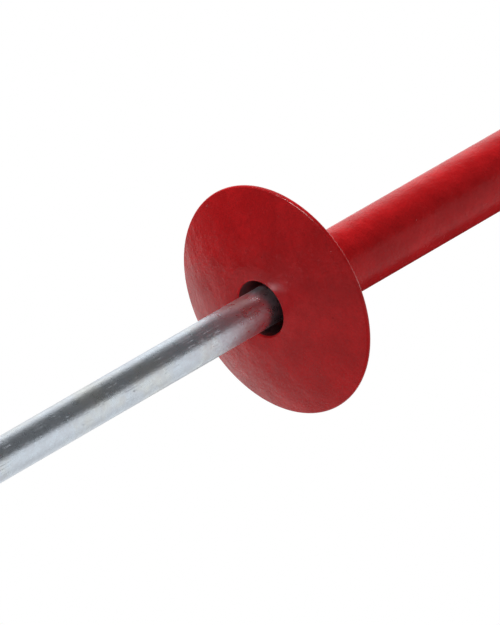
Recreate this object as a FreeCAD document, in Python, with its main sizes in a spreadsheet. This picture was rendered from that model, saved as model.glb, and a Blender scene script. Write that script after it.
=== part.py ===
import FreeCAD, Part

import os

import Sketcher
from FreeCAD import Placement, Rotation, Vector

# A slide-hammer driver for rod posts. A steel tube with a weight in its closed top is the hammer.
# It slides on a drive rod, whose lower end holds a socket that caps the post. The hand holds the
# tube, behind a domed guard at its mouth.
#
# The tool stands upright: +Z runs up the common axis, from the socket to the closed end of the tube.
# The origin is on that axis, where the hand's middle grips the tube. The rod is drawn fully out,
# hanging on its stop, and the stroke lifts it into the tube until it meets the striker bar.

# Driving dimensions, in millimetres.
SIZES = {
    # hammer tube and guard; diameters include the enamel, except where the tube's end is bare for the weld
    "tube_diameter": 22.5,
    "tube_end_diameter": 22.1,
    "tube_bore": 18.4,
    "guard_diameter": 76.8,
    "guard_rise": 7.7,
    "guard_thickness": 2.0,
    "guard_seat_diameter": 28.4,
    "guard_lip_round": 0.8,
    "grip_above_mouth": 60,
    # guide bush, set back inside the mouth, and the spring pins that hold it
    "bush_setback": 15,
    "bush_length": 25,
    "bush_bore": 13.3,
    "bush_chamfer": 1.0,
    "bush_pin_diameter": 4,
    "bush_pin_inset": 0.1,
    # weight and cap in the top of the tube
    "striker_length": 160,
    "striker_chamfer": 1.5,
    "plug_weld_diameter": 8,
    "plug_weld_height": 30,
    "cap_thickness": 4,
    "cap_groove": 1.5,
    "cap_round": 1.2,
    # drive rod and what it carries inside the tube
    "rod_diameter": 12.7,
    "rod_chamfer": 1.0,
    "rod_exposed": 330,
    "stroke": 250,
    "working_gap": 0.3,
    "bumper_diameter": 17,
    "bumper_length": 8,
    "bumper_round": 1.0,
    "collar_diameter": 17.6,
    "collar_length": 14,
    "collar_chamfer": 0.8,
    "collar_pin_diameter": 4,
    "collar_pin_length": 16.6,
    "ring_diameter": 17.8,
    "ring_bore": 12.86,
    "ring_length": 16,
    "ring_chamfer": 0.6,
    "flute_diameter": 2.4,
    "flutes": 4,
    "snap_wire": 1.2,
    "snap_gap_angle": 40,
    "rod_end_land": 6,
    # spring pins are rolled from strip, so they have a wall and a slot
    "pin_wall": 0.8,
    "pin_slot": 0.9,
    # socket that caps the post
    "socket_diameter": 25.4,
    "socket_bore": 14.3,
    "socket_depth": 60,
    "socket_web": 8,
    "socket_seat": 25,
    "socket_lead": 1.6,
    "socket_chamfer": 1.2,
    # fillet welds
    "guard_weld_leg": 2.8,
    "socket_weld_leg": 3.2,
    "weld_crown": 0.35,
}

FULL_TURN = 360

# Sketcher's codes: the ends and centre of a line or arc, the sketch's origin, and its upright axis.
START = 1
END = 2
CENTRE = 3
ORIGIN = (-1, 1)
UPRIGHT_AXIS = -2

doc = FreeCAD.newDocument("post_driver")
sheet = doc.addObject("Spreadsheet::Sheet", "sizes")
for row, (alias, value) in enumerate(SIZES.items(), start=1):
    sheet.set(f"A{row}", alias)
    sheet.set(f"B{row}", str(value))
    sheet.setAlias(f"B{row}", alias)
doc.recompute()

subparts = []


# ---- helpers ----

def number(expression):
    """The present value of an expression written in terms of the sheet."""
    return float(sheet.evalExpression(expression))


def keep(item, height="0", turn=None):
    """Registers a finished sub-part: its label names its file, and its placement sets its height."""
    item.Label = item.Name
    item.Placement = Placement(Vector(0, 0, number(height)), turn or Rotation())
    item.setExpression(".Placement.Base.z", height)
    subparts.append(item)
    return item


def new_body(name):
    return doc.addObject("PartDesign::Body", name)


def new_sketch(body, name, plane):
    """A sketch on one of the body's own origin planes."""
    sketch = body.newObject("Sketcher::SketchObject", f"{body.Name}_{name}")
    support = next(f for f in body.Origin.OriginFeatures if f.Role == plane)
    sketch.AttachmentSupport = [(support, "")]
    sketch.MapMode = "FlatFace"
    return sketch


def bind(sketch, kind, targets, expression):
    """Adds a dimension to a sketch and binds it to an expression."""
    index = sketch.addConstraint(Sketcher.Constraint(kind, *targets, number(expression)))
    sketch.setExpression(f"Constraints[{index}]", expression)


def fix_point(sketch, shape, end, across, up):
    """Holds one end of a line or arc, or a circle's centre, at a distance across and up from the origin."""
    bind(sketch, "DistanceX", (*ORIGIN, shape, end), across)
    bind(sketch, "DistanceY", (*ORIGIN, shape, end), up)


def draw_polygon(sketch, corners):
    """A closed outline of straight sides. Each corner is a pair of expressions, across and up."""
    points = [Vector(number(across), number(up), 0) for across, up in corners]
    first = sketch.GeometryCount
    for start, end in zip(points, points[1:] + points[:1]):
        sketch.addGeometry(Part.LineSegment(start, end))
    for i, (across, up) in enumerate(corners):
        before = first + (i - 1) % len(corners)
        sketch.addConstraint(Sketcher.Constraint("Coincident", before, END, first + i, START))
        fix_point(sketch, first + i, START, across, up)


def draw_circle(sketch, diameter, across="0", up="0"):
    centre = Vector(number(across), number(up), 0)
    shape = sketch.addGeometry(Part.Circle(centre, Vector(0, 0, 1), number(diameter) / 2))
    fix_point(sketch, shape, CENTRE, across, up)
    bind(sketch, "Diameter", (shape,), diameter)


def revolve(body, sketch, kind="Revolution", angle=FULL_TURN):
    """Turns a sketch about the axis: a Revolution adds material and a Groove removes it."""
    feature = body.newObject(f"PartDesign::{kind}", f"{sketch.Name}_{kind.lower()}")
    feature.Profile = sketch
    feature.ReferenceAxis = (sketch, ["V_Axis"])
    feature.Angle = angle
    body.Tip = feature
    doc.recompute()
    return feature


def turned(name, corners):
    """A body turned from one straight-sided outline of radius and height."""
    body = new_body(name)
    sketch = new_sketch(body, "outline", "XZ_Plane")
    draw_polygon(sketch, corners)
    revolve(body, sketch)
    return body


def round_bar(name, length, diameter, bore=None):
    """A body padded up from a circle, or from a ring when it has a bore."""
    body = new_body(name)
    sketch = new_sketch(body, "section", "XY_Plane")
    draw_circle(sketch, diameter)
    if bore:
        draw_circle(sketch, bore)
    pad = body.newObject("PartDesign::Pad", f"{name}_pad")
    pad.Profile = sketch
    pad.setExpression("Length", length)
    doc.recompute()
    return body


def circles(body, diameter, *heights):
    """Names of the body's circular edges of that diameter at those heights."""
    found = []
    for index, edge in enumerate(body.Tip.Shape.Edges, start=1):
        if not isinstance(edge.Curve, Part.Circle) or not edge.isClosed():
            continue
        at_height = any(abs(edge.Curve.Center.z - number(h)) < 1e-4 for h in heights)
        if at_height and abs(edge.Curve.Radius * 2 - number(diameter)) < 1e-4:
            found.append(f"Edge{index}")
    return found


def dress(body, kind, edges, size):
    """A Fillet or a Chamfer on edges of the body's last feature."""
    base = body.Tip
    feature = body.newObject(f"PartDesign::{kind}", f"{base.Name}_{kind.lower()}")
    feature.Base = (base, edges)
    feature.setExpression("Radius" if kind == "Fillet" else "Size", size)
    body.Tip = feature
    doc.recompute()


def cut_through(body, sketch):
    """Cuts a sketch right through the body, both ways from its plane."""
    pocket = body.newObject("PartDesign::Pocket", f"{sketch.Name}_pocket")
    pocket.Profile = sketch
    pocket.Type = "ThroughAll"
    pocket.Midplane = True
    body.Tip = pocket
    doc.recompute()
    return pocket


def cross_drill(body, diameter, height, plane="YZ_Plane"):
    """A hole square to the axis, right through the body, at that height."""
    sketch = new_sketch(body, "drilling", plane)
    draw_circle(sketch, diameter, up=height)
    cut_through(body, sketch)


def turn_down(body, radius, foot, top):
    """Turns the body down to a smaller radius between two heights."""
    sketch = new_sketch(body, "turning", "XZ_Plane")
    clear = f"2 * {radius}"
    draw_polygon(sketch, [(radius, foot), (clear, foot), (clear, top), (radius, top)])
    revolve(body, sketch, "Groove")


def cylinder(name, radius, height):
    item = doc.addObject("Part::Cylinder", name)
    item.setExpression("Radius", radius)
    item.setExpression("Height", height)
    return item


def boolean(kind, name, base, tool):
    item = doc.addObject(f"Part::{kind}", name)
    item.Base = base
    item.Tool = tool
    return item


def fillet_weld(name, root, leg):
    """A ring of weld in the corner of a plate and a round bar: two legs and a crowned face."""
    body = new_body(name)
    sketch = new_sketch(body, "outline", "XZ_Plane")
    inner = number(root)
    reach = number(leg)
    crown = number("sizes.weld_crown")
    toe = Vector(inner + reach, 0, 0)
    top = Vector(inner, reach, 0)
    middle = (toe + top) / 2 + Vector(1, 1, 0).normalize() * crown
    shapes = [
        Part.LineSegment(Vector(inner, 0, 0), toe),
        Part.Arc(toe, middle, top),
        Part.LineSegment(top, Vector(inner, 0, 0)),
    ]
    plate_leg, face, bar_leg = sketch.addGeometry(shapes)
    for before, after in ((plate_leg, face), (face, bar_leg), (bar_leg, plate_leg)):
        sketch.addConstraint(Sketcher.Constraint("Coincident", before, END, after, START))
    fix_point(sketch, plate_leg, START, root, "0")
    fix_point(sketch, plate_leg, END, f"{root} + {leg}", "0")
    fix_point(sketch, bar_leg, START, root, leg)
    # a chord's square is twice the leg's square, and a quarter of that over the crown gives the radius
    bind(sketch, "Radius", (face,), f"{leg} * {leg} / (4 * sizes.weld_crown) + sizes.weld_crown / 2")
    revolve(body, sketch)
    return body


# ---- heights up the axis ----

MOUTH = "-sizes.grip_above_mouth"
TUBE_FOOT = f"{MOUTH} + sizes.guard_thickness"
BUSH_FOOT = f"{MOUTH} + sizes.bush_setback"
BUMPER_FOOT = f"{BUSH_FOOT} + sizes.bush_length + sizes.working_gap"
COLLAR_FOOT = f"{BUMPER_FOOT} + sizes.bumper_length"
RING_FOOT = f"{COLLAR_FOOT} + sizes.collar_length + sizes.working_gap"
SNAP_FOOT = f"{RING_FOOT} + sizes.ring_length + sizes.working_gap"
ROD_TOP = f"{SNAP_FOOT} + sizes.snap_wire + sizes.rod_end_land"
STRIKER_FOOT = f"{ROD_TOP} + sizes.stroke + sizes.working_gap"
TUBE_TOP = f"{STRIKER_FOOT} + sizes.striker_length"
SOCKET_TOP = f"{MOUTH} - sizes.rod_exposed"
ROD_FOOT = f"{SOCKET_TOP} - sizes.socket_seat"


# ---- hammer: guard, tube and what is fixed in it ----

def make_hand_guard():
    """A pressed disc, domed towards the rod, with a flat seat for the tube's end around its hole.

    Both faces of the dome are arcs about one centre on the axis, and the rim is a full round.
    """
    body = new_body("hand_guard")
    sketch = new_sketch(body, "outline", "XZ_Plane")
    thick = number("sizes.guard_thickness")
    hole = number("sizes.tube_bore / 2")
    seat = number("sizes.guard_seat_diameter / 2")
    rim_middle = Vector(number("sizes.guard_diameter / 2") - thick / 2, number("sizes.guard_rise"), 0)
    seat_middle = Vector(seat, thick / 2, 0)
    square_gain = rim_middle.Length**2 - seat_middle.Length**2
    centre = Vector(0, square_gain / (2 * (rim_middle.y - seat_middle.y)), 0)
    outward = (rim_middle - centre).normalize() * thick / 2

    def arc(middle, start, end):
        circle = Part.Circle(middle, Vector(0, 0, 1), (middle - start).Length)
        return Part.ArcOfCircle(circle, circle.parameter(start), circle.parameter(end))

    shapes = [
        Part.LineSegment(Vector(hole, 0, 0), Vector(seat, 0, 0)),
        arc(centre, Vector(seat, 0, 0), rim_middle + outward),
        arc(rim_middle, rim_middle + outward, rim_middle - outward),
        arc(centre, Vector(seat, thick, 0), rim_middle - outward),
        Part.LineSegment(Vector(seat, thick, 0), Vector(hole, thick, 0)),
        Part.LineSegment(Vector(hole, thick, 0), Vector(hole, 0, 0)),
    ]
    seat_line, front, rim, back, back_line, bore = sketch.addGeometry(shapes)
    constraints = [
        ("Coincident", seat_line, END, front, START),
        ("Tangent", front, END, rim, START),
        ("Tangent", rim, END, back, END),
        ("Coincident", back, START, back_line, START),
        ("Coincident", back_line, END, bore, START),
        ("Coincident", bore, END, seat_line, START),
        ("Coincident", front, CENTRE, back, CENTRE),
        ("PointOnObject", front, CENTRE, UPRIGHT_AXIS),
        ("Horizontal", back_line),
    ]
    for constraint in constraints:
        sketch.addConstraint(Sketcher.Constraint(*constraint))
    fix_point(sketch, seat_line, START, "sizes.tube_bore / 2", "0")
    fix_point(sketch, seat_line, END, "sizes.guard_seat_diameter / 2", "0")
    fix_point(sketch, bore, START, "sizes.tube_bore / 2", "sizes.guard_thickness")
    rim_radius = "(sizes.guard_diameter - sizes.guard_thickness) / 2"
    fix_point(sketch, rim, CENTRE, rim_radius, "sizes.guard_rise")
    bind(sketch, "Radius", (rim,), "sizes.guard_thickness / 2")
    revolve(body, sketch)
    dress(body, "Fillet", circles(body, "sizes.tube_bore", "0"), "sizes.guard_lip_round")
    return keep(body, MOUTH)


def make_hammer_tube():
    """The tube butts on the guard's seat and ends level with the striker bar's top."""
    length = f"{TUBE_TOP} - ({TUBE_FOOT})"
    body = round_bar("hammer_tube", length, "sizes.tube_diameter", "sizes.tube_bore")
    dress(body, "Chamfer", circles(body, "sizes.tube_diameter", length), "sizes.cap_groove")
    turn_down(body, "sizes.tube_end_diameter / 2", "0", "sizes.guard_weld_leg")
    cross_drill(
        body,
        "sizes.bush_pin_diameter",
        "sizes.bush_setback + sizes.bush_length / 2 - sizes.guard_thickness",
    )
    cross_drill(
        body,
        "sizes.plug_weld_diameter",
        f"{length} - sizes.striker_length + sizes.plug_weld_height",
        "XZ_Plane",
    )
    return keep(body, TUBE_FOOT)


def make_guide_bush():
    """Steers the rod. It is pressed into the tube after the rod, and pinned from both sides."""
    body = round_bar("guide_bush", "sizes.bush_length", "sizes.tube_bore", "sizes.bush_bore")
    ends = circles(body, "sizes.bush_bore", "0", "sizes.bush_length")
    dress(body, "Chamfer", ends, "sizes.bush_chamfer")
    cross_drill(body, "sizes.bush_pin_diameter", "sizes.bush_length / 2")
    return keep(body, BUSH_FOOT)


def make_bush_pins():
    """Two slotted spring pins, one from each side, just below the tube's surface."""
    reach = "(sizes.tube_diameter - sizes.bush_bore) / 2 - 3 * sizes.bush_pin_inset"
    outer = cylinder("bush_pin_outer", "sizes.bush_pin_diameter / 2", reach)
    inner = cylinder("bush_pin_inner", "sizes.bush_pin_diameter / 2 - sizes.pin_wall", reach)
    slot = doc.addObject("Part::Box", "bush_pin_slot")
    slot.setExpression("Length", "sizes.bush_pin_diameter")
    slot.setExpression("Width", "sizes.pin_slot")
    slot.setExpression("Height", reach)
    slot.setExpression(".Placement.Base.y", "-sizes.pin_slot / 2")
    rolled = boolean("Cut", "bush_pin_rolled", outer, inner)
    pin = boolean("Cut", "bush_pin", rolled, slot)
    pin.Placement = Placement(Vector(), Rotation(Vector(0, 1, 0), 90))
    pin.setExpression(".Placement.Base.x", "sizes.bush_bore / 2 + 2 * sizes.bush_pin_inset")
    opposite = doc.addObject("Part::Mirroring", "bush_pin_opposite")
    opposite.Source = pin
    opposite.Normal = Vector(1, 0, 0)
    pair = doc.addObject("Part::Compound", "bush_pins")
    pair.Links = [pin, opposite]
    return keep(pair, f"{BUSH_FOOT} + sizes.bush_length / 2")


def make_guard_weld():
    """Joins the tube's bare end to the hollow side of the guard, all round."""
    body = fillet_weld("guard_weld", "sizes.tube_end_diameter / 2", "sizes.guard_weld_leg")
    return keep(body, TUBE_FOOT)


def make_striker_bar():
    """The weight in the tube's top. Its lower face strikes the rod's end."""
    body = round_bar("striker_bar", "sizes.striker_length", "sizes.tube_bore")
    dress(body, "Chamfer", circles(body, "sizes.tube_bore", "0"), "sizes.striker_chamfer")
    return keep(body, STRIKER_FOOT)


def make_striker_plug_welds():
    """Weld that fills the tube's two side holes, level with its surface, and holds the striker bar."""
    outer = cylinder("plug_wall_outer", "sizes.tube_diameter / 2", "2 * sizes.plug_weld_diameter")
    inner = cylinder("plug_wall_inner", "sizes.tube_bore / 2", "2 * sizes.plug_weld_diameter")
    wall = boolean("Cut", "plug_wall", outer, inner)
    drill = cylinder("plug_holes", "sizes.plug_weld_diameter / 2", "2 * sizes.tube_diameter")
    drill.Placement = Placement(Vector(), Rotation(Vector(1, 0, 0), 90))
    drill.setExpression(".Placement.Base.y", "sizes.tube_diameter")
    drill.setExpression(".Placement.Base.z", "sizes.plug_weld_diameter")
    plugs = boolean("Common", "striker_plug_welds", wall, drill)
    return keep(plugs, f"{STRIKER_FOOT} + sizes.plug_weld_height - sizes.plug_weld_diameter")


def make_end_cap():
    """A disc that closes the tube, bevelled below for the weld and rounded above."""
    body = round_bar("end_cap", "sizes.cap_thickness", "sizes.tube_diameter")
    dress(body, "Chamfer", circles(body, "sizes.tube_diameter", "0"), "sizes.cap_groove")
    dress(body, "Fillet", circles(body, "sizes.tube_diameter", "sizes.cap_thickness"), "sizes.cap_round")
    return keep(body, TUBE_TOP)


def make_cap_weld():
    """Fills the groove between the tube and the cap, level with both."""
    wall = "sizes.tube_diameter / 2"
    body = turned(
        "cap_weld",
        [
            (f"{wall} - sizes.cap_groove", "0"),
            (wall, "-sizes.cap_groove"),
            (wall, "sizes.cap_groove"),
        ],
    )
    return keep(body, TUBE_TOP)


# ---- ring that slides in the tube while the rod turns in it ----

def make_guide_ring():
    """A nylon ring that centres the rod's inner end. Flutes let the air past it."""
    body = round_bar("guide_ring", "sizes.ring_length", "sizes.ring_diameter", "sizes.ring_bore")
    rims = circles(body, "sizes.ring_diameter", "0", "sizes.ring_length")
    dress(body, "Chamfer", rims, "sizes.ring_chamfer")
    sketch = new_sketch(body, "flute", "XY_Plane")
    draw_circle(sketch, "sizes.flute_diameter", across="sizes.ring_diameter / 2")
    flute = cut_through(body, sketch)
    flutes = body.newObject("PartDesign::PolarPattern", "guide_ring_flutes")
    flutes.Originals = [flute]
    flutes.Axis = (sketch, ["N_Axis"])
    flutes.Angle = FULL_TURN
    flutes.setExpression("Occurrences", "sizes.flutes")
    body.Tip = flutes
    doc.recompute()
    return keep(body, RING_FOOT)


# ---- drive rod and what is fixed on it ----

def make_drive_rod():
    """A plated round bar with a groove for the snap ring and a hole for the collar's pin."""
    length = f"{ROD_TOP} - ({ROD_FOOT})"
    body = round_bar("drive_rod", length, "sizes.rod_diameter")
    dress(body, "Chamfer", circles(body, "sizes.rod_diameter", "0", length), "sizes.rod_chamfer")
    groove_top = f"{length} - sizes.rod_end_land"
    groove_floor = "(sizes.rod_diameter - sizes.snap_wire) / 2"
    turn_down(body, groove_floor, f"{groove_top} - sizes.snap_wire", groove_top)
    pin_height = f"{COLLAR_FOOT} - ({ROD_FOOT}) + sizes.collar_length / 2"
    cross_drill(body, "sizes.collar_pin_diameter", pin_height)
    return keep(body, ROD_FOOT)


def make_rebound_bumper():
    """A urethane ring that meets the bush when the hammer is pulled to the end of its stroke."""
    body = round_bar(
        "rebound_bumper", "sizes.bumper_length", "sizes.bumper_diameter", "sizes.rod_diameter"
    )
    rims = circles(body, "sizes.bumper_diameter", "0", "sizes.bumper_length")
    dress(body, "Fillet", rims, "sizes.bumper_round")
    return keep(body, BUMPER_FOOT)


def make_stop_collar():
    """Keeps the rod in the tube."""
    body = round_bar(
        "stop_collar", "sizes.collar_length", "sizes.collar_diameter", "sizes.rod_diameter"
    )
    rims = circles(body, "sizes.collar_diameter", "0", "sizes.collar_length")
    dress(body, "Chamfer", rims, "sizes.collar_chamfer")
    cross_drill(body, "sizes.collar_pin_diameter", "sizes.collar_length / 2")
    return keep(body, COLLAR_FOOT)


def make_collar_pin():
    """A slotted spring pin through the collar and the rod."""
    body = round_bar(
        "collar_pin",
        "sizes.collar_pin_length",
        "sizes.collar_pin_diameter",
        "sizes.collar_pin_diameter - 2 * sizes.pin_wall",
    )
    sketch = new_sketch(body, "slot_outline", "XY_Plane")
    side = "sizes.pin_slot / 2"
    far = "sizes.collar_pin_diameter"
    draw_polygon(sketch, [("0", f"-{side}"), (far, f"-{side}"), (far, side), ("0", side)])
    cut_through(body, sketch)
    keep(body, f"{COLLAR_FOOT} + sizes.collar_length / 2", Rotation(Vector(0, 1, 0), 90))
    body.setExpression(".Placement.Base.x", "-sizes.collar_pin_length / 2")
    return body


def make_retaining_ring():
    """A round-wire snap ring, open at one side, in the rod's groove."""
    body = new_body("retaining_ring")
    sketch = new_sketch(body, "wire", "XZ_Plane")
    draw_circle(sketch, "sizes.snap_wire", across="sizes.rod_diameter / 2")
    wire = revolve(body, sketch)
    wire.setExpression("Angle", f"{FULL_TURN} - sizes.snap_gap_angle")
    return keep(body, f"{SNAP_FOOT} + sizes.snap_wire / 2")


def make_post_socket():
    """A turned sleeve: the rod seats in its top, and its deep bore caps the post below."""
    outer = "sizes.socket_diameter / 2"
    bore = "sizes.socket_bore / 2"
    seat = "sizes.rod_diameter / 2"
    depth = "sizes.socket_depth"
    floor = f"{depth} + sizes.socket_web"
    length = f"{floor} + sizes.socket_seat"
    body = turned(
        "post_socket",
        [
            (f"{bore} + sizes.socket_lead", "0"),
            (f"{outer} - sizes.socket_chamfer", "0"),
            (outer, "sizes.socket_chamfer"),
            (outer, f"{length} - sizes.socket_chamfer"),
            (f"{outer} - sizes.socket_chamfer", length),
            (seat, length),
            (seat, floor),
            ("0", floor),
            ("0", depth),
            (bore, depth),
            (bore, "sizes.socket_lead"),
        ],
    )
    return keep(body, f"{SOCKET_TOP} - ({length})")


def make_socket_weld():
    """Joins the rod to the socket's top, all round."""
    body = fillet_weld("socket_weld", "sizes.rod_diameter / 2", "sizes.socket_weld_leg")
    return keep(body, SOCKET_TOP)


# ---- build, check and write ----

MAKERS = [
    make_striker_bar,
    make_hammer_tube,
    make_hand_guard,
    make_guard_weld,
    make_guide_bush,
    make_bush_pins,
    make_striker_plug_welds,
    make_end_cap,
    make_cap_weld,
    make_rebound_bumper,
    make_stop_collar,
    make_collar_pin,
    make_guide_ring,
    make_retaining_ring,
    make_drive_rod,
    make_post_socket,
    make_socket_weld,
]


def check_document():
    """Stops on any object that failed, and on any sub-part whose shape isn't a valid solid."""
    for item in doc.Objects:
        if {"Invalid", "Error"} & set(item.State):
            raise RuntimeError(f"{item.Name} failed: {item.State}")
    for item in subparts:
        if item.Shape.isNull() or not item.Shape.isValid() or not item.Shape.Solids:
            raise RuntimeError(f"{item.Name} has no valid solid")


for make in MAKERS:
    make()
doc.recompute()
check_document()

os.makedirs("parts", exist_ok=True)
for item in subparts:
    item.Shape.exportStep(os.path.join("parts", f"{item.Label}.step"))
    box = item.Shape.optimalBoundingBox()
    print(
        f"{item.Label:20s} {len(item.Shape.Solids)} solid(s) {item.Shape.Volume:10.1f} mm3"
        f"  z {box.ZMin:8.2f} to {box.ZMax:8.2f}  width {box.XLength:6.2f}"
    )
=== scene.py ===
import math

import bmesh
import bpy
from mathutils import Matrix, Vector, noise


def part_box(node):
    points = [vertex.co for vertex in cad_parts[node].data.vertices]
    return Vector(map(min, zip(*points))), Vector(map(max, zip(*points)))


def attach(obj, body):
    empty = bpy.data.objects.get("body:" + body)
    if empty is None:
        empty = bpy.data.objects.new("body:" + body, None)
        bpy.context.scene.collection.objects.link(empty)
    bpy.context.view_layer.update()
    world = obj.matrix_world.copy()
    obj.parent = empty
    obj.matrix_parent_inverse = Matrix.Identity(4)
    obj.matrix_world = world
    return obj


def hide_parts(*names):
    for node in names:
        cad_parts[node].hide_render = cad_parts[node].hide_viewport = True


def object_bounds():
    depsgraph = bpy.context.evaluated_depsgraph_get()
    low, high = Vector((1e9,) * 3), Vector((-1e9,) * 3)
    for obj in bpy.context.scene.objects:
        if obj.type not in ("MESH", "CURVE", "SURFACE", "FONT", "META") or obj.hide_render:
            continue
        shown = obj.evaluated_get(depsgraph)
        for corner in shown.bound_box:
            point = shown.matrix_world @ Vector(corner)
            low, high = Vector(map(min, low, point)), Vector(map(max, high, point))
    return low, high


# Looks of a slide-hammer post driver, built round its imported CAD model.
# Metres, in the CAD's frame: the tool is round about Z, and +Z runs up to the hammer's closed end.

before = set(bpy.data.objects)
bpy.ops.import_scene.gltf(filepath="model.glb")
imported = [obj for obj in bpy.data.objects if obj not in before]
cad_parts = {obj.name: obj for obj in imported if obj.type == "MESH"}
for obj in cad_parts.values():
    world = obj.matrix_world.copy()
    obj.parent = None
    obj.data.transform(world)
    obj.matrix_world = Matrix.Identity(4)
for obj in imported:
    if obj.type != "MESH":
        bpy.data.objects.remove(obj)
cad_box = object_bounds()

MM = 0.001
TINY = 1e-7

# How finely round shapes are cut up, and the least angle of an edge that stays crisp.
AROUND = 256
DRILL_AROUND = 96
PLUG_AROUND = 64
ROUND_STEPS = 10
DOME_STEPS = 48
SHARP_ANGLE = math.radians(35)

# Sizes that the boxes of the CAD nodes don't give.
GUARD_THICKNESS = 2 * MM
GUARD_SEAT_RADIUS = 14.2 * MM
GUARD_LIP_ROUND = 0.8 * MM
CAP_ROUND = 1.2 * MM
ROD_CHAMFER = 1 * MM
SOCKET_BORE_RADIUS = 7.15 * MM
SOCKET_DEPTH = 60 * MM
SOCKET_WEB = 8 * MM
SOCKET_LEAD = 1.6 * MM
SOCKET_CHAMFER = 1.2 * MM
SOCKET_EDGE_ROUND = 0.25 * MM
HOLE_EDGE = 0.1 * MM


# ---- measuring the frame ----

def radii(node):
    """The least and greatest distance of a CAD node's points from the tool's axis."""
    reaches = [v.co.xy.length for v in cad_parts[node].data.vertices]
    return min(reaches), max(reaches)


def heights(node):
    """The least and greatest Z of a CAD node."""
    low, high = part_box(node)
    return low.z, high.z


def crossing(node):
    """The radius and height of a round piece that lies across the tool."""
    low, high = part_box(node)
    radius = min(high.x - low.x, high.y - low.y) / 2
    return radius, high.z - radius


# ---- outlines: points of (distance from the axis, height) ----

def arc(centre, start, end, steps):
    """The short arc about a centre from one point to another, both included."""
    first = start - centre
    last = end - centre
    begin = math.atan2(first.y, first.x)
    turn = (math.atan2(last.y, last.x) - begin + math.pi) % math.tau - math.pi
    angles = [begin + turn * step / steps for step in range(steps + 1)]
    return [centre + first.length * Vector((math.cos(a), math.sin(a))) for a in angles]


def outline(*corners):
    """A closed outline from corners of (distance, height) or (distance, height, rounding)."""
    spots = [Vector(corner[:2]) for corner in corners]
    points = []
    for index, corner in enumerate(corners):
        here = spots[index]
        if len(corner) < 3:
            points.append(here)
            continue
        rounding = corner[2]
        before = (spots[index - 1] - here).normalized()
        after = (spots[(index + 1) % len(spots)] - here).normalized()
        half = before.angle(after) / 2
        reach = rounding / math.tan(half)
        centre = here + (before + after).normalized() * rounding / math.sin(half)
        points += arc(centre, here + before * reach, here + after * reach, ROUND_STEPS)
    return points


# ---- meshes ----

def add_piece(name, build):
    """Turns a finished bmesh into a smooth-shaded object with crisp edges."""
    bmesh.ops.recalc_face_normals(build, faces=build.faces)
    mesh = bpy.data.meshes.new(name)
    build.to_mesh(mesh)
    build.free()
    smooth(mesh)
    piece = bpy.data.objects.new(name, mesh)
    bpy.context.scene.collection.objects.link(piece)
    return piece


def smooth(mesh):
    mesh.shade_smooth()
    mesh.set_sharp_from_angle(angle=SHARP_ANGLE)


def skin(build, rings):
    """Closes a surface over rings of points, from each to the next and from the last to the first.

    A ring of one point closes to it, as at a pole.
    """
    made = [[build.verts.new(point) for point in ring] for ring in rings]
    around = max(len(ring) for ring in made)
    for ring, following in zip(made, made[1:] + made[:1]):
        if len(ring) == len(following) == 1:
            continue
        for step in range(around):
            corners = [
                ring[step % len(ring)],
                ring[(step + 1) % len(ring)],
                following[(step + 1) % len(following)],
                following[step % len(following)],
            ]
            build.faces.new(dict.fromkeys(corners))


def turned(name, points, around=AROUND, shape=None):
    """A piece turned about the tool's axis. shape(index, angle) may give each point anew."""
    rings = []
    for index, point in enumerate(points):
        count = 1 if point.x < TINY else around
        ring = []
        for step in range(count):
            angle = math.tau * step / count
            spot = shape(index, angle) if shape else point
            ring.append((spot.x * math.cos(angle), spot.x * math.sin(angle), spot.y))
        rings.append(ring)
    build = bmesh.new()
    skin(build, rings)
    return add_piece(name, build)


def drill(piece, node, axis):
    """Cuts the hole across a piece that a round CAD node lies in."""
    radius, height = crossing(node)
    reach = 2 * radii(node)[1]
    cutter = turned(
        "drill",
        outline((0, -reach), (radius, -reach), (radius, reach), (0, reach)),
        around=DRILL_AROUND,
    )
    turn = Matrix.Rotation(math.pi / 2, 4, "Y" if axis == "X" else "X")
    cutter.data.transform(Matrix.Translation((0, 0, height)) @ turn)
    cut = piece.modifiers.new("hole", "BOOLEAN")
    cut.object = cutter
    cut.solver = "EXACT"
    bpy.context.view_layer.update()
    result = piece.evaluated_get(bpy.context.evaluated_depsgraph_get())
    piece.data = bpy.data.meshes.new_from_object(result)
    piece.modifiers.clear()
    bpy.data.objects.remove(cutter)
    smooth(piece.data)


def line_hole(piece, radius, material):
    """Gives the faces of the hole along the axis, out to this radius, a material of their own, which
    paints the shade inside the hole.
    """
    piece.data.materials.append(material)
    for face in piece.data.polygons:
        if face.center.xy.length < radius:
            face.material_index = 1


# ---- materials ----

class Nodes:
    """Short ways to add shader nodes to a tree."""

    def __init__(self, tree):
        self.tree = tree

    def node(self, kind, inputs=None, **settings):
        made = self.tree.nodes.new("ShaderNode" + kind)
        for key, value in settings.items():
            setattr(made, key, value)
        for key, value in (inputs or {}).items():
            if isinstance(value, bpy.types.NodeSocket):
                self.tree.links.new(value, made.inputs[key])
            else:
                made.inputs[key].default_value = value
        return made

    def math(self, operation, first, second):
        return self.node("Math", {0: first, 1: second}, operation=operation).outputs[0]

    def between(self, value, low, high, bottom=0.0, top=1.0):
        """bottom where the value is at or past low, top at high, eased between them."""
        inputs = {"Value": value, "From Min": low, "From Max": high, "To Min": bottom, "To Max": top}
        made = self.node("MapRange", inputs, interpolation_type="SMOOTHSTEP")
        return made.outputs["Result"]


# Blender's Mix node holds its sockets for numbers and for colours side by side. These are the colours'.
MIX_FIRST = 6
MIX_SECOND = 7
MIX_RESULT = 2


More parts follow.
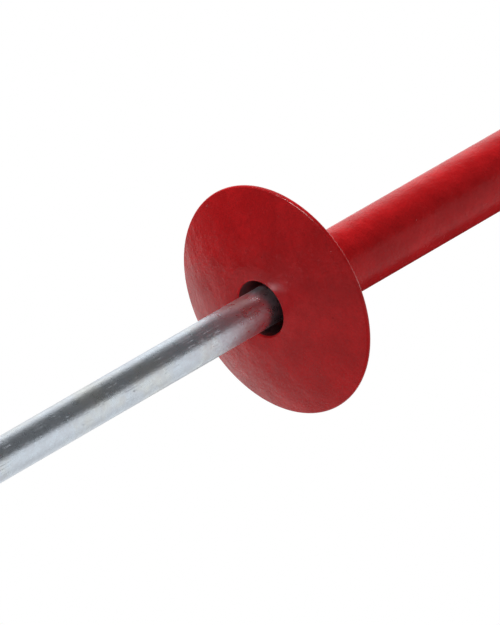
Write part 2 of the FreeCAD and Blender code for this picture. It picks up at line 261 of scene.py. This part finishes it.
class Surface(Nodes):
    """A material in the making: a Principled shader, and the textures that feed it."""

    def __init__(self, name, values):
        self.material = bpy.data.materials.new(name)
        self.material.use_nodes = True
        super().__init__(self.material.node_tree)
        self.shader = self.tree.nodes["Principled BSDF"]
        for socket, value in values.items():
            self.shader.inputs[socket].default_value = value
        self.place = self.node("TexCoord").outputs["Object"]

    def stretched(self, scale):
        """The surface's own coordinates, with a scale for each axis."""
        return self.node("Mapping", {"Vector": self.place, "Scale": scale}).outputs["Vector"]

    def noise(self, scale, detail=2, roughness=0.5, place=None):
        """Smooth noise with this many cells to the metre."""
        inputs = {"Vector": place or self.place, "Scale": scale, "Detail": detail}
        inputs["Roughness"] = roughness
        return self.node("TexNoise", inputs).outputs["Fac"]

    def spots(self, scale, radius, share):
        """1 in the middle of scattered round spots, 0 outside; share is the part of cells with one."""
        cells = self.node("TexVoronoi", {"Vector": self.place, "Scale": scale})
        chosen = self.node("SeparateColor", {"Color": cells.outputs["Color"]}).outputs["Red"]
        kept = self.math("LESS_THAN", chosen, share)
        return self.math("MULTIPLY", self.between(cells.outputs["Distance"], radius, 0), kept)

    def mix(self, factor, first, second):
        """A colour between two."""
        inputs = {"Factor": factor, MIX_FIRST: first, MIX_SECOND: second}
        return self.node("Mix", inputs, data_type="RGBA").outputs[MIX_RESULT]

    def relief(self, height, depth, under=None):
        """A bump of this depth in metres, on top of another."""
        inputs = {"Height": height, "Distance": depth}
        if under:
            inputs["Normal"] = under
        return self.node("Bump", inputs).outputs["Normal"]

    def finish(self, **sockets):
        """Links each named socket of the shader."""
        for name, value in sockets.items():
            self.tree.links.new(value, self.shader.inputs[name.replace("_", " ")])
        return self.material


# Enamel's index of refraction, set below the real one so that it mirrors as little as in the photo.
WEAK_SHEEN = 1.22


def red_enamel():
    """Sprayed enamel: a fine grain, orange peel, dust nibs and slow changes of depth."""
    deep = (0.44, 0.0078, 0.010, 1)
    bright = (0.57, 0.012, 0.015, 1)
    patchy = (0.38, 0.0065, 0.009, 1)
    grainy = (0.36, 0.006, 0.009, 1)
    enamel = Surface("red_enamel", {"IOR": WEAK_SHEEN})
    depth = enamel.between(enamel.noise(75, 5, 0.65), 0.35, 0.68)
    colour = enamel.mix(depth, deep, bright)
    patches = enamel.between(enamel.noise(260, 4, 0.6), 0.45, 0.7, 0.0, 0.35)
    colour = enamel.mix(patches, colour, patchy)
    grain = enamel.between(enamel.noise(900, 3, 0.6), 0.45, 0.75, 0.0, 0.45)
    colour = enamel.mix(grain, colour, grainy)
    peel = enamel.relief(enamel.noise(1000, 3, 0.65), 0.13 * MM)
    nibs = enamel.relief(enamel.spots(220, 0.09, 0.15), 0.22 * MM, peel)
    waves = enamel.relief(enamel.noise(110, 2), 0.4 * MM, nibs)
    roughness = enamel.between(enamel.noise(380, 3), 0.3, 0.7, 0.17, 0.28)
    return enamel.finish(Base_Color=colour, Roughness=roughness, Normal=waves)


def zinc_plate(name, along, around):
    """Bright zinc plating over steel, a little clouded, with broken scratches.

    along and around are the cells to the metre of the scratches, along Z and across it.
    """
    blue = (0.70, 0.785, 0.87, 1)
    stained = (0.75, 0.79, 0.78, 1)
    clouded = (0.58, 0.56, 0.60, 1)
    specked = (0.52, 0.54, 0.56, 1)
    pitted = (0.30, 0.29, 0.28, 1)
    zinc = Surface(name, {"Metallic": 1.0})
    lines = zinc.stretched((around, around, along))
    stain = zinc.between(zinc.noise(60, 4, 0.65), 0.45, 0.7)
    colour = zinc.mix(stain, blue, stained)
    cloud = zinc.between(zinc.noise(420, 4, 0.6), 0.3, 0.7)
    colour = zinc.mix(zinc.math("MULTIPLY", cloud, 0.3), colour, clouded)
    speck = zinc.between(zinc.noise(1500, 3, 0.7), 0.42, 0.62, 0.0, 0.2)
    colour = zinc.mix(speck, colour, specked)
    pits = zinc.spots(700, 0.15, 0.06)
    colour = zinc.mix(zinc.math("MULTIPLY", pits, 0.5), colour, pitted)
    broken = zinc.between(zinc.noise(150, 5, 0.7), 0.5, 0.6)
    scratched = zinc.between(zinc.noise(1, 3, 0.7, lines), 0.57, 0.63)
    scratched = zinc.math("MULTIPLY", scratched, broken)
    polish = zinc.between(cloud, 0, 1, 0.27, 0.34)
    roughness = zinc.math("ADD", polish, zinc.math("MULTIPLY", scratched, 0.1))
    drawn = zinc.relief(zinc.noise(1, 3, 0.6, lines), 0.020 * MM)
    scored = zinc.relief(scratched, -0.04 * MM, drawn)
    grain = zinc.relief(zinc.noise(1400, 4, 0.75), 0.05 * MM, scored)
    waves = zinc.relief(zinc.noise(480, 3, 0.55), 0.05 * MM, grain)
    return zinc.finish(Base_Color=colour, Roughness=roughness, Normal=waves)


def turned_steel():
    """Bare mild steel off the lathe, with tool marks round it and a film of oil."""
    clean = (0.48, 0.47, 0.46, 1)
    oiled = (0.36, 0.33, 0.30, 1)
    steel = Surface("bright_steel", {"Metallic": 1.0})
    marks = steel.noise(1, 2, 0.5, steel.stretched((12, 12, 3500)))
    stain = steel.between(steel.noise(120, 4, 0.6), 0.35, 0.7)
    colour = steel.mix(stain, clean, oiled)
    roughness = steel.between(marks, 0.3, 0.7, 0.26, 0.42)
    return steel.finish(Base_Color=colour, Roughness=roughness, Normal=steel.relief(marks, 0.01 * MM))


def bare_bore():
    """The hammer's inside: oiled steel with painted shade, far darker than bare steel to stand for the
    shade in the hole, and a breath of red overspray.
    """
    # dark and pale are painted shade: the near-black that falls inside the hole, not the steel's own
    # colour.
    dark = (0.06, 0.032, 0.032, 1)
    pale = (0.11, 0.06, 0.058, 1)
    red = (0.30, 0.009, 0.012, 1)
    bore = Surface("bare_bore", {"Metallic": 0.3})
    steel = bore.mix(bore.noise(150, 4), dark, pale)
    spray = bore.between(bore.noise(260, 4, 0.6), 0.4, 0.7, 0.2, 0.8)
    colour = bore.mix(spray, steel, red)
    roughness = bore.between(bore.noise(500, 3), 0.3, 0.7, 0.4, 0.6)
    relief = bore.relief(bore.noise(600, 3), 0.03 * MM)
    return bore.finish(Base_Color=colour, Roughness=roughness, Normal=relief)


def spring_steel():
    """Dark oiled spring steel, rubbed brighter in patches."""
    dark = (0.13, 0.13, 0.14, 1)
    bright = (0.32, 0.31, 0.30, 1)
    spring = Surface("spring_steel", {"Metallic": 1.0})
    rubbed = spring.between(spring.noise(400, 4, 0.6), 0.5, 0.75)
    colour = spring.mix(rubbed, dark, bright)
    roughness = spring.between(spring.noise(900, 2), 0.3, 0.7, 0.28, 0.45)
    relief = spring.relief(spring.noise(1500, 2), 0.01 * MM)
    return spring.finish(Base_Color=colour, Roughness=roughness, Normal=relief)


def nylon():
    """Turned nylon: off-white, a little translucent, with tool marks."""
    pale = (0.82, 0.80, 0.72, 1)
    dull = (0.74, 0.71, 0.62, 1)
    plastic = Surface("nylon", {"Subsurface Weight": 0.3, "Subsurface Scale": 2 * MM})
    marks = plastic.noise(1, 2, 0.5, plastic.stretched((15, 15, 3000)))
    colour = plastic.mix(plastic.noise(90, 3), pale, dull)
    roughness = plastic.between(marks, 0.3, 0.7, 0.38, 0.52)
    return plastic.finish(Base_Color=colour, Roughness=roughness, Normal=plastic.relief(marks, 0.02 * MM))


def urethane():
    """Cast amber urethane, dulled by dust and oil."""
    amber = (0.55, 0.28, 0.05, 1)
    dusty = (0.42, 0.25, 0.09, 1)
    rubber = Surface("urethane", {"Subsurface Weight": 0.2, "Subsurface Scale": 2 * MM})
    dust = rubber.between(rubber.noise(250, 4, 0.6), 0.4, 0.7)
    colour = rubber.mix(dust, amber, dusty)
    roughness = rubber.between(dust, 0, 1, 0.35, 0.6)
    relief = rubber.relief(rubber.noise(700, 3), 0.02 * MM)
    return rubber.finish(Base_Color=colour, Roughness=roughness, Normal=relief)


# ---- hammer ----

def hand_guard():
    """A domed disc: a flat seat round the hole, a dome about one centre on the axis, a full round rim."""
    low, high = heights("hand_guard")
    hole, reach = radii("hand_guard")
    half = GUARD_THICKNESS / 2
    rim = Vector((reach - half, high - half))
    seat = Vector((GUARD_SEAT_RADIUS, low + half))
    across = rim.x**2 - seat.x**2
    rise = rim.y - seat.y
    centre = Vector((0, seat.y + (across + rise**2) / (2 * rise)))
    out = (rim - centre).normalized() * half
    lip = outline(
        (GUARD_SEAT_RADIUS, low), (GUARD_SEAT_RADIUS, low + GUARD_THICKNESS),
        (hole, low + GUARD_THICKNESS), (hole, low, GUARD_LIP_ROUND),
    )
    points = lip[2:]
    points += arc(centre, Vector((GUARD_SEAT_RADIUS, low)), rim + out, DOME_STEPS)
    points += arc(rim, rim + out, rim + Vector((half, 0)), ROUND_STEPS)[1:]
    points += arc(rim, rim + Vector((half, 0)), rim - out, ROUND_STEPS)[1:]
    points += arc(centre, rim - out, lip[1], DOME_STEPS)[1:]
    return turned("hand_guard", points)


def cap_groove():
    """The depth of the groove for the cap's weld. It is cut half in the tube and half in the cap."""
    low, high = heights("cap_weld")
    return (high - low) / 2


def hammer_tube():
    """A tube with no enamel under the guard and its weld, and half of the cap's groove at its top."""
    foot, top = heights("hammer_tube")
    bore, wall = radii("hammer_tube")
    weld_top = heights("guard_weld")[1]
    bare = radii("guard_weld")[0]
    groove = cap_groove()
    points = outline(
        (bore, foot),
        (bare, foot),
        (bare, weld_top),
        (wall, weld_top),
        (wall, top - groove),
        (wall - groove, top),
        (bore, top),
    )
    piece = turned("hammer_tube", points)
    drill(piece, "bush_pins", "X")
    drill(piece, "striker_plug_welds", "Y")
    return piece


# Weld ripples: points to each round the weld, and how far their middle lags behind their ends, as a
# share of the pitch.
RIPPLE_AROUND = 8
FILLET_LAG = 0.45
GROUND_LAG = 0.4
# How much a fillet's crown wanders, as a share of the ripples' height, and how often round the weld.
FILLET_WANDER = 0.5
WANDER_SCALE = 6


def weld_lift(share, angle, count, lag, crown, height, wander=0.0):
    """How far a weld stands out at a share of the way across it: its crown, with ripples on it."""
    bulge = math.sin(math.pi * share)
    phase = (count * angle / math.tau + lag * bulge) % 1
    return bulge * (crown + height * (1 - phase**2) + height * wander)


def fillet_bead(node, crown, pitch, height):
    """A fillet weld round the tool: a crowned face with a crescent ripple at each pitch."""
    low, high = heights(node)
    root, reach = radii(node)
    steps = 12
    toe = Vector((reach, low))
    face = [toe.lerp(Vector((root, high)), step / steps) for step in range(steps + 1)]
    out = Vector((1, 1)).normalized()
    count = round(math.tau * (root + reach) / 2 / pitch)

    def shape(index, angle):
        if index == 0:
            return Vector((root, low))
        spot = Vector((math.cos(angle), math.sin(angle), 0)) * WANDER_SCALE
        wander = FILLET_WANDER * noise.noise(spot)
        share = (index - 1) / steps
        return face[index - 1] + out * weld_lift(share, angle, count, FILLET_LAG, crown, height, wander)

    return turned(node, [Vector((root, low))] + face, around=count * RIPPLE_AROUND, shape=shape)


def guard_weld():
    return fillet_bead("guard_weld", crown=0.35 * MM, pitch=1.9 * MM, height=0.22 * MM)


def end_cap():
    """A disc that closes the tube, with the other half of the groove at its foot."""
    low, high = heights("end_cap")
    wall = radii("end_cap")[1]
    groove = cap_groove()
    return turned(
        "end_cap",
        outline((0, low), (wall - groove, low), (wall, low + groove), (wall, high, CAP_ROUND), (0, high)),
    )


def cap_weld():
    """A weld ground nearly level with the tube and cap, so its ripples are faint."""
    low, high = heights("cap_weld")
    wall = radii("cap_weld")[1]
    groove = cap_groove()
    steps = 8
    count = 42
    crown = 0.05 * MM
    height = 0.07 * MM

    def shape(index, angle):
        if index == 0:
            return Vector((wall - groove, low + groove))
        share = (index - 1) / steps
        lift = weld_lift(share, angle, count, GROUND_LAG, crown, height)
        return Vector((wall + lift, low + (high - low) * share))

    points = [Vector((wall, low))] * (steps + 2)
    return turned("cap_weld", points, around=count * RIPPLE_AROUND, shape=shape)


# The plug welds' faces, ground off just proud of the tube: how high, how uneven, how far apart the
# unevenness is, and the rings they are built of, as shares of their radius.
PLUG_CROWN = 0.06 * MM
PLUG_UNEVEN = 0.04 * MM
PLUG_MARK = 1.1 * MM
PLUG_RINGS = (0.0, 0.25, 0.5, 0.7, 0.85, 0.95, 1.0)


def striker_plug_welds():
    """Two plugs of weld through the tube's wall, one on each side."""
    radius, height = crossing("striker_plug_welds")
    bore, wall = radii("striker_plug_welds")

    def ring(side, share, front):
        points = []
        for step in range(PLUG_AROUND if share else 1):
            angle = math.tau * step / PLUG_AROUND
            across = share * radius * math.cos(angle)
            up = share * radius * math.sin(angle)
            mark = noise.noise(Vector((across, up, side * radius)) / PLUG_MARK)
            lift = (PLUG_CROWN + PLUG_UNEVEN * mark) * (1 - share**4) if front else 0
            surface = wall if front else bore
            points.append((across, side * (math.sqrt(surface**2 - across**2) + lift), height + up))
        return points

    build = bmesh.new()
    for side in (1, -1):
        outer = [ring(side, share, front=True) for share in PLUG_RINGS]
        inner = [ring(side, share, front=False) for share in PLUG_RINGS]
        skin(build, outer + inner[::-1])
    return add_piece("striker_plug_welds", build)


# ---- rod ----

def drive_rod():
    """A round bar with a groove for the retaining ring and a hole for the collar's pin."""
    low, high = heights("drive_rod")
    reach = radii("drive_rod")[1]
    groove_low, groove_high = heights("retaining_ring")
    groove_floor = reach - (groove_high - groove_low) / 2
    points = outline(
        (0, low),
        (reach - ROD_CHAMFER, low),
        (reach, low + ROD_CHAMFER),
        (reach, groove_low),
        (groove_floor, groove_low),
        (groove_floor, groove_high),
        (reach, groove_high),
        (reach, high - ROD_CHAMFER),
        (reach - ROD_CHAMFER, high),
        (0, high),
    )
    piece = turned("drive_rod", points)
    drill(piece, "collar_pin", "X")
    return piece


def post_socket():
    """A sleeve with the post's bore below, the rod's seat above and a web between them."""
    low, high = heights("post_socket")
    wall = radii("post_socket")[1]
    seat = radii("drive_rod")[1]
    soft = SOCKET_EDGE_ROUND
    return turned(
        "post_socket",
        outline(
            (SOCKET_BORE_RADIUS + SOCKET_LEAD, low, soft),
            (wall - SOCKET_CHAMFER, low, soft),
            (wall, low + SOCKET_CHAMFER, soft),
            (wall, high - SOCKET_CHAMFER, soft),
            (wall - SOCKET_CHAMFER, high, soft),
            (seat, high),
            (seat, low + SOCKET_DEPTH + SOCKET_WEB),
            (0, low + SOCKET_DEPTH + SOCKET_WEB),
            (0, low + SOCKET_DEPTH),
            (SOCKET_BORE_RADIUS, low + SOCKET_DEPTH),
            (SOCKET_BORE_RADIUS, low + SOCKET_LEAD, soft),
        ),
    )


def socket_weld():
    return fillet_bead("socket_weld", crown=0.35 * MM, pitch=1.6 * MM, height=0.2 * MM)


# ---- stage, light and camera ----

# The camera looks up at the guard from below, along a line tilted off the tool's axis, and is rolled
# about that line. Its distance from the guard's mouth is in metres and its lens in millimetres.
CAMERA_TILT = math.radians(49.9)
CAMERA_ROLL = math.radians(210.05)
CAMERA_DISTANCE = 4.378
CAMERA_LENS = 810.5
# Where the middle of the guard's mouth lies in the view, from the picture's middle.
MOUTH_RIGHT = 3.2 * MM
MOUTH_UP = 1.12 * MM


def camera_axes():
    """The camera's right, up and backward directions."""
    back = Vector((0, -math.sin(CAMERA_TILT), -math.cos(CAMERA_TILT)))
    down = Vector((0, 0, -1))
    level = (down - back * down.dot(back)).normalized()
    side = back.cross(level)
    right = math.cos(CAMERA_ROLL) * level - math.sin(CAMERA_ROLL) * side
    up = math.sin(CAMERA_ROLL) * level + math.cos(CAMERA_ROLL) * side
    return right, up, back


def add_camera():
    right, up, back = camera_axes()
    mouth = Vector((0, 0, heights("hand_guard")[0]))
    lens = bpy.data.cameras.new("camera")
    lens.lens = CAMERA_LENS
    camera = bpy.data.objects.new("camera", lens)
    place = mouth + CAMERA_DISTANCE * back - MOUTH_RIGHT * right - MOUTH_UP * up
    camera.matrix_world = Matrix.Translation(place) @ Matrix((right, up, back)).transposed().to_4x4()
    bpy.context.scene.collection.objects.link(camera)
    bpy.context.scene.camera = camera


# Lamps, by direction as the camera sees it (right, up, towards it), width and strength. The key
# lights matte surfaces but isn't reflected. The glint only shows in reflections, on these pieces.
KEY = ((-0.48, 0.87, -0.13), math.radians(28), 3.3)
GLINT = ((-0.64, 0.46, 0.61), math.radians(12), 4.0)
GLINTING = ("hand_guard", "hammer_tube", "drive_rod")

# Soft lights, and shades that block them: each by its direction as the camera sees it, the angles
# from that direction at which it is full and gone, in degrees, and its brightness or the share it
# blocks.
AMBIENT = 0.12
LIGHTS = {
    "table": ((0.37, -0.91, -0.17), 87, 94, 0.74),
    "backdrop": ((-0.10, 0.50, -0.86), 26, 42, 0.66),
    "edge": ((-0.16, 0.62, -0.77), 6, 16, 0.4),
    "glow": ((-0.49, -0.28, -0.83), 12, 30, 0.5),
    "softbox": ((-0.35, 0.93, -0.09), 9, 20, 2.0),
    "top": ((0.66, 0.38, -0.64), 10, 28, 1.2),
    "front": ((-0.66, -0.38, 0.64), 25, 50, 0.20),
    "fill": ((0.30, -0.12, 0.94), 15, 35, 0.5),
}
SHADES = {
    "tool": ((0.37, -0.91, -0.17), 22, 45, 0.55),
    "camera": ((0.20, -0.75, 0.63), 20, 50, 0.5),
}


def seen_direction(towards):
    """The direction in the frame that the camera sees as this one."""
    return (Matrix(camera_axes()).transposed() @ Vector(towards)).normalized()


def add_lamp(name, towards, angle, strength):
    sun = bpy.data.lights.new(name, "SUN")
    sun.energy = strength
    sun.angle = angle
    lamp = bpy.data.objects.new(name, sun)
    lamp.rotation_euler = seen_direction(towards).to_track_quat("Z", "Y").to_euler()
    bpy.context.scene.collection.objects.link(lamp)
    return lamp


def light_only(lamp, names):
    """Keeps a lamp's light off everything but these pieces."""
    lit = bpy.data.collections.new(lamp.name)
    for name in names:
        lit.objects.link(bpy.data.objects[name])
    lamp.light_linking.receiver_collection = lit


def add_lamps():
    key = add_lamp("key", *KEY)
    key.visible_glossy = False
    glint = add_lamp("glint", *GLINT)
    glint.visible_diffuse = False
    light_only(glint, GLINTING)


def lobe(sky, direction, towards, full, gone, brightness):
    """A round patch of the world: its brightness in the middle, fading to nothing."""
    facing = sky.node("VectorMath", {0: direction, 1: seen_direction(towards)}, operation="DOT_PRODUCT")
    edge = math.cos(math.radians(gone))
    middle = math.cos(math.radians(full))
    return sky.between(facing.outputs["Value"], edge, middle, 0, brightness)


def add_world():
    """Plain white to the camera, and to everything else a white table, a backdrop and softboxes."""
    world = bpy.data.worlds.new("studio")
    bpy.context.scene.world = world
    world.use_nodes = True
    world.node_tree.nodes.clear()
    sky = Nodes(world.node_tree)
    direction = sky.node("TexCoord").outputs["Generated"]
    total = AMBIENT
    for light in LIGHTS.values():
        total = sky.math("ADD", total, lobe(sky, direction, *light))
    for shade in SHADES.values():
        total = sky.math("MULTIPLY", total, sky.math("SUBTRACT", 1, lobe(sky, direction, *shade)))
    seen = sky.node("LightPath").outputs["Is Camera Ray"]
    strength = sky.node("Mix", {"Factor": seen, "A": total, "B": 1}).outputs["Result"]
    background = sky.node("Background", {"Color": (1, 1, 1, 1), "Strength": strength})
    sky.node("OutputWorld", {"Surface": background.outputs["Background"]})


# The floor's radius, and how far from the tool it begins to fade.
FLOOR_RADIUS = 6
FLOOR_FADE = 0.5


def add_floor():
    """A pale floor under the socket that fades out to the backdrop.

    It is one-sided, so that the camera sees through it from below, and it lights nothing.
    """
    build = bmesh.new()
    bmesh.ops.create_circle(build, cap_ends=True, segments=AROUND, radius=FLOOR_RADIUS)
    floor = add_piece("floor", build)
    floor.location.z = cad_box[0].z
    paint = Surface("floor", {"Base Color": (0.85, 0.85, 0.84, 1), "Roughness": 0.8})
    reach = paint.node("VectorMath", {0: paint.place}, operation="LENGTH").outputs["Value"]
    fade = paint.between(reach, FLOOR_FADE, FLOOR_RADIUS, 1.0, 0.0)
    side = paint.node("NewGeometry").outputs["Backfacing"]
    shown = paint.math("SUBTRACT", fade, side)
    floor.data.materials.append(paint.finish(Alpha=shown))
    floor.visible_diffuse = False
    floor.visible_glossy = False
    floor.visible_shadow = False


# A black card beside the hammer's tube: how far it stands off the axis, its depth and its heights.
FLAG_OFFSET = 0.05
FLAG_DEPTH = 0.3
FLAG_FOOT = -0.02
FLAG_TOP = 0.3


def add_flag():
    """A card that only reflections see. It keeps the tube's edge by the table from glaring."""
    build = bmesh.new()
    corners = [(0, FLAG_FOOT), (FLAG_DEPTH, FLAG_FOOT), (FLAG_DEPTH, FLAG_TOP), (0, FLAG_TOP)]
    build.faces.new([build.verts.new((FLAG_OFFSET, y, z)) for y, z in corners])
    flag = add_piece("flag", build)
    black = Surface("flag", {"Base Color": (0.01, 0.01, 0.01, 1), "Specular IOR Level": 0.0})
    flag.data.materials.append(black.material)
    flag.visible_camera = False
    flag.visible_diffuse = False
    flag.visible_shadow = False


# ---- putting it together ----

enamel = red_enamel()
drawn_zinc = zinc_plate("zinc_plate", along=18, around=2000)
turned_zinc = zinc_plate("zinc_plate_turned", along=1500, around=18)
steel = turned_steel()
spring = spring_steel()
bore = bare_bore()

# Each piece that stands for a CAD node: its maker, which has the node's name, its body, its material
# slot and its material.
PIECES = (
    (hand_guard, "hammer", "red_enamel", enamel),
    (hammer_tube, "hammer", "red_enamel", enamel),
    (guard_weld, "hammer", "red_enamel", enamel),
    (end_cap, "hammer", "red_enamel", enamel),
    (cap_weld, "hammer", "red_enamel", enamel),
    (striker_plug_welds, "hammer", "red_enamel", enamel),
    (drive_rod, "rod", "zinc_plate", drawn_zinc),
    (post_socket, "rod", "zinc_plate", turned_zinc),
    (socket_weld, "rod", "zinc_plate", drawn_zinc),
)
for make, body, slot, material in PIECES:
    node = make.__name__
    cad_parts[node].name = node + "_cad"
    piece = make()
    piece.name = node
    piece.data.materials.clear()
    piece.data.materials.append(material)
    # The hole in the guard and the tube's bore get painted shade.
    if node in ("hand_guard", "hammer_tube"):
        line_hole(piece, radii(node)[0] + HOLE_EDGE, bore)
    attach(piece, body)
    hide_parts(node)

# CAD nodes whose shape is kept, with a better material.
KEPT = {
    "guide_bush": steel,
    "striker_bar": steel,
    "stop_collar": steel,
    "bush_pins": spring,
    "collar_pin": spring,
    "retaining_ring": spring,
    "guide_ring": nylon(),
    "rebound_bumper": urethane(),
}
for node, material in KEPT.items():
    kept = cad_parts[node]
    kept.material_slots[0].material = material
    smooth(kept.data)

add_camera()
add_lamps()
add_world()
add_floor()
add_flag()
bpy.context.scene.view_settings.view_transform = "Standard"
